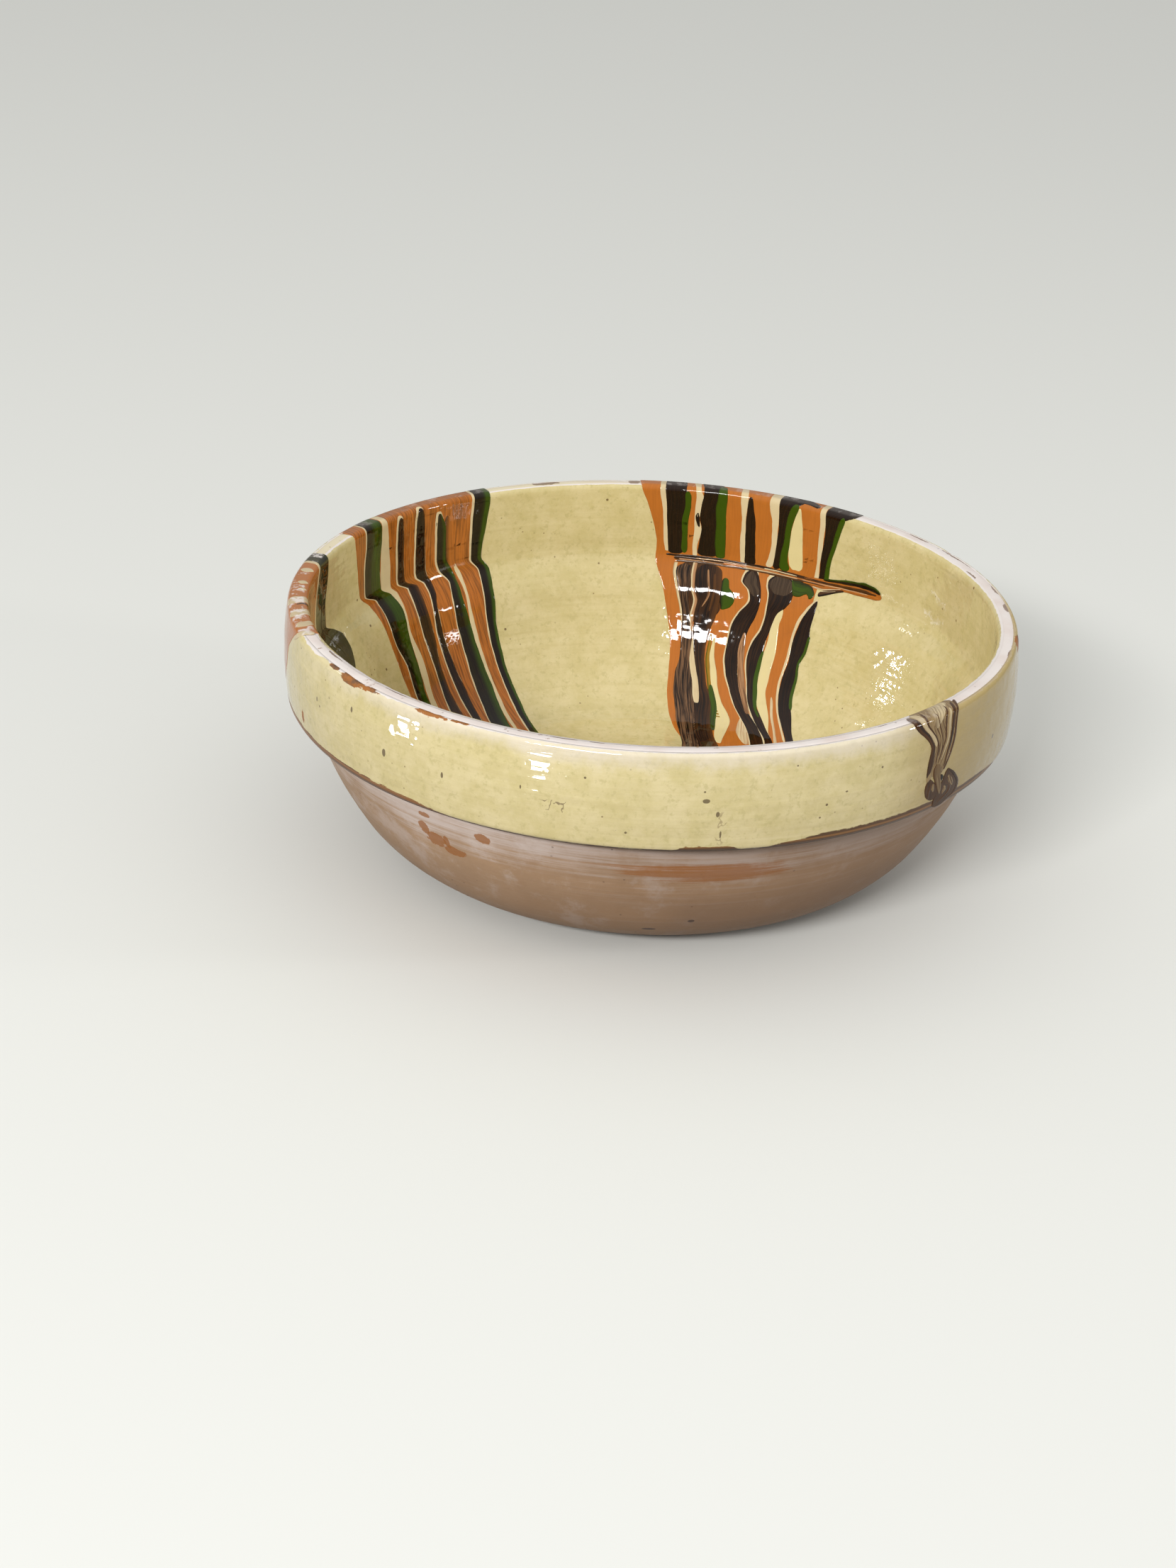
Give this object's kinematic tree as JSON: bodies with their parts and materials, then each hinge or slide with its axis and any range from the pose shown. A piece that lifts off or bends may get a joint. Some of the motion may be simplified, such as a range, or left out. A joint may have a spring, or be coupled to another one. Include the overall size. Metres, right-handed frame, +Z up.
{
  "type": "punch bowl",
  "caption": "Deep round earthenware punch bowl with a tall rolled collar, glazed inside and on the collar, with marbled slip poured over the rim and a bare clay base.",
  "frame": {"origin": "centre of the flat foot, on the surface that the bowl stands on", "axes": "+Z up the turning axis; -Y is the side seen nearest in use, with the back pour near +Y"},
  "size_m": [0.3649, 0.3644, 0.1304],
  "materials": {
    "bare_earthenware": "matte unglazed clay",
    "straw_glaze": "glossy straw-yellow lead-type glaze",
    "marbled_slip": "glossy poured slip in orange, black-brown, green and cream"
  },
  "bodies": {
    "root": {"clay_body": "bare_earthenware", "inside_glaze": "straw_glaze", "collar_glaze": "straw_glaze", "back_left_slip_pour": "marbled_slip", "back_slip_pour": "marbled_slip", "left_slip_pour": "marbled_slip", "right_slip_drip": "marbled_slip"}
  },
  "joints": []
}
